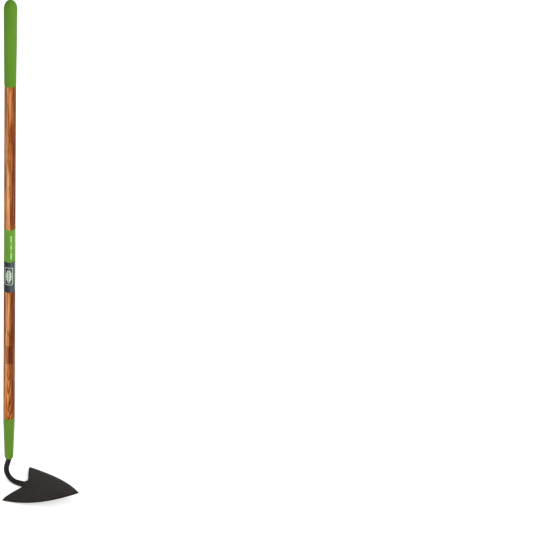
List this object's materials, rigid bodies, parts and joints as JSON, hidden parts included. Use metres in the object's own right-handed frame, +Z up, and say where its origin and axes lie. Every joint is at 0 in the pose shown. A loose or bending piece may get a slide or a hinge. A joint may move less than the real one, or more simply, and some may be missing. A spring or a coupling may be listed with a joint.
{
  "type": "heart-bladed garden hoe",
  "caption": "Long-handled hoe with a pointed heart-shaped blade on a swan-neck shank, a tapered ferrule, a round wooden handle and a soft end grip.",
  "frame": {"origin": "on the handle's axis at the middle of the end grip, where a hand or a holder closes round it", "axes": "+Z up along the handle from the blade to the grip, +X the way the blade points, +Y across the blade, with XZ the plane of symmetry"},
  "size_m": [0.2116, 0.1442, 1.5292],
  "materials": {
    "stained_wood": "stained and varnished, satin",
    "soft_grip": "soft matt moulded skin",
    "label_film": "printed film, green above and dark slate below",
    "green_paint": "green powder coat",
    "black_steel": "satin black coating, worn at the edges",
    "pin_steel": "dull zinc"
  },
  "bodies": {
    "root": {"wood_handle": "stained_wood", "end_grip": "soft_grip", "label_wrap": "label_film", "ferrule": "green_paint", "gooseneck_shank": "black_steel", "heart_blade": "black_steel", "weld_bead_left": "black_steel", "weld_bead_right": "black_steel", "ferrule_pin": "pin_steel"}
  },
  "joints": []
}
